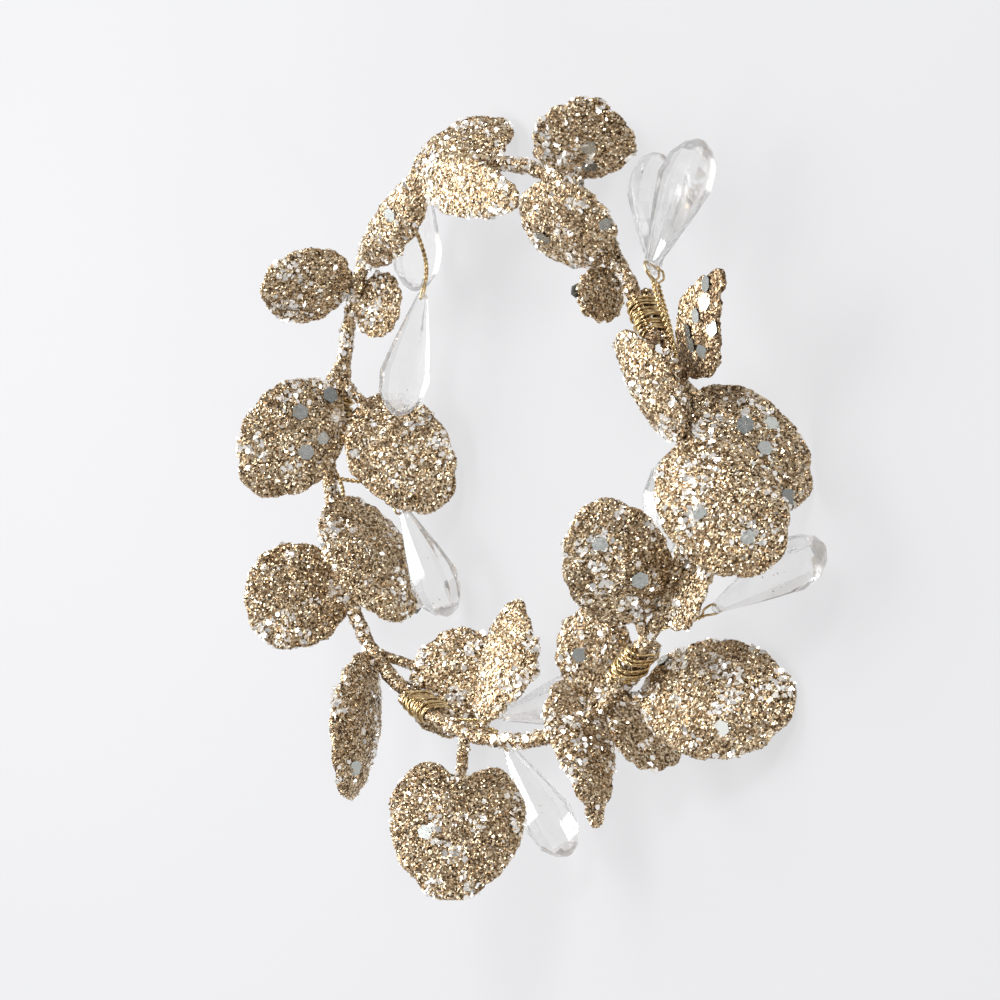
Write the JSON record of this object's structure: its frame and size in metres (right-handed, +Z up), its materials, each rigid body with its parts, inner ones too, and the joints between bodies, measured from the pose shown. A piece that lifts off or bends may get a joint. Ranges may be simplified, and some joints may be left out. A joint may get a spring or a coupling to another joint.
{
  "type": "candle ring",
  "caption": "Wreath of glittered leaf sprays bound end to end with fine wire, with clear faceted drops on twisted wire, that lies round the foot of a pillar candle.",
  "frame": {"origin": "centre of the ring, on the surface that it rests on", "axes": "+Z up along the ring's axis, the way the candle stands; +Y towards the top of the picture"},
  "size_m": [0.1353, 0.1326, 0.0344],
  "materials": {
    "glitter_leaf": "champagne glitter",
    "glitter_stem": "champagne glitter over wire",
    "gold_wire": "bright drawn wire",
    "clear_drop": "clear polished acrylic"
  },
  "bodies": {
    "ring": {"spray_a_binding": "gold_wire", "spray_a_drop_wire": "gold_wire", "spray_a_leaf_1": "glitter_leaf", "spray_a_leaf_2": "glitter_leaf", "spray_a_leaf_3": "glitter_leaf", "spray_a_leaf_4": "glitter_leaf", "spray_a_leaf_5": "glitter_leaf", "spray_a_stem": "glitter_stem", "spray_b_binding": "gold_wire", "spray_b_drop_wire": "gold_wire", "spray_b_leaf_1": "glitter_leaf", "spray_b_leaf_2": "glitter_leaf", "spray_b_leaf_3": "glitter_leaf", "spray_b_leaf_4": "glitter_leaf", "spray_b_leaf_5": "glitter_leaf", "spray_b_leaf_6": "glitter_leaf", "spray_b_leaf_7": "glitter_leaf", "spray_b_stem": "glitter_stem", "spray_c_binding": "gold_wire", "spray_c_drop_wire": "gold_wire", "spray_c_leaf_1": "glitter_leaf", "spray_c_leaf_2": "glitter_leaf", "spray_c_leaf_3": "glitter_leaf", "spray_c_leaf_4": "glitter_leaf", "spray_c_stem": "glitter_stem", "spray_d_binding": "gold_wire", "spray_d_drop_wire": "gold_wire", "spray_d_leaf_1": "glitter_leaf", "spray_d_leaf_2": "glitter_leaf", "spray_d_leaf_3": "glitter_leaf", "spray_d_leaf_4": "glitter_leaf", "spray_d_leaf_5": "glitter_leaf", "spray_d_leaf_6": "glitter_leaf", "spray_d_stem": "glitter_stem", "spray_e_binding": "gold_wire", "spray_e_drop_wire": "gold_wire", "spray_e_leaf_1": "glitter_leaf", "spray_e_leaf_2": "glitter_leaf", "spray_e_leaf_3": "glitter_leaf", "spray_e_leaf_4": "glitter_leaf", "spray_e_leaf_5": "glitter_leaf", "spray_e_leaf_6": "glitter_leaf", "spray_e_stem": "glitter_stem"},
    "spray_a_drop_1": {"spray_a_drop_1": "clear_drop"},
    "spray_a_drop_2": {"spray_a_drop_2": "clear_drop"},
    "spray_b_drop_1": {"spray_b_drop_1": "clear_drop"},
    "spray_b_drop_2": {"spray_b_drop_2": "clear_drop"},
    "spray_c_drop_1": {"spray_c_drop_1": "clear_drop"},
    "spray_c_drop_2": {"spray_c_drop_2": "clear_drop"},
    "spray_d_drop_1": {"spray_d_drop_1": "clear_drop"},
    "spray_d_drop_2": {"spray_d_drop_2": "clear_drop"},
    "spray_e_drop_1": {"spray_e_drop_1": "clear_drop"},
    "spray_e_drop_2": {"spray_e_drop_2": "clear_drop"}
  },
  "joints": [
    {"name": "spray_a_swing_1", "type": "hinge", "parent": "ring", "child": "spray_a_drop_1", "pos_m": [0.0406, 0.02918, 0.0162], "axis": [0.0727, 0.2659, 0.9613], "range_deg": [-60, 5]},
    {"name": "spray_a_swing_2", "type": "hinge", "parent": "ring", "child": "spray_a_drop_2", "pos_m": [0.03778, 0.02878, 0.0132], "axis": [-0.0956, 0.2585, 0.9613], "range_deg": [-3, 30]},
    {"name": "spray_b_swing_1", "type": "hinge", "parent": "ring", "child": "spray_b_drop_1", "pos_m": [-0.02798, 0.02702, 0.0113], "axis": [0.701, -0.1113, 0.7044], "range_deg": [-8, 35]},
    {"name": "spray_b_swing_2", "type": "hinge", "parent": "ring", "child": "spray_b_drop_2", "pos_m": [-0.03353, 0.04952, 0.0074], "axis": [-0.0132, -0.0685, 0.9976], "range_deg": [-60, 20]},
    {"name": "spray_c_swing_1", "type": "hinge", "parent": "ring", "child": "spray_c_drop_1", "pos_m": [-0.03691, -0.01024, 0.0086], "axis": [-0.1095, -0.1512, 0.9824], "range_deg": [-2, 12]},
    {"name": "spray_c_swing_2", "type": "hinge", "parent": "ring", "child": "spray_c_drop_2", "pos_m": [-0.05238, -0.01037, 0.0116], "axis": [0.3861, -0.3398, 0.8576], "range_deg": [-60, 35]},
    {"name": "spray_d_swing_1", "type": "hinge", "parent": "ring", "child": "spray_d_drop_1", "pos_m": [-0.00423, -0.05032, 0.0102], "axis": [0.4711, 0.2063, 0.8576], "range_deg": [-60, 20]},
    {"name": "spray_d_swing_2", "type": "hinge", "parent": "ring", "child": "spray_d_drop_2", "pos_m": [-0.00544, -0.04427, 0.0104], "axis": [0.2192, 0.0506, 0.9744], "range_deg": [-30, 2]},
    {"name": "spray_e_swing_1", "type": "hinge", "parent": "ring", "child": "spray_e_drop_1", "pos_m": [0.05333, -0.02453, 0.0132], "axis": [0.1743, 0.2519, 0.9519], "range_deg": [-60, 18]},
    {"name": "spray_e_swing_2", "type": "hinge", "parent": "ring", "child": "spray_e_drop_2", "pos_m": [0.03725, -0.02108, 0.0136], "axis": [0.5126, 0.1403, 0.8471], "range_deg": [-60, 60]}
  ]
}
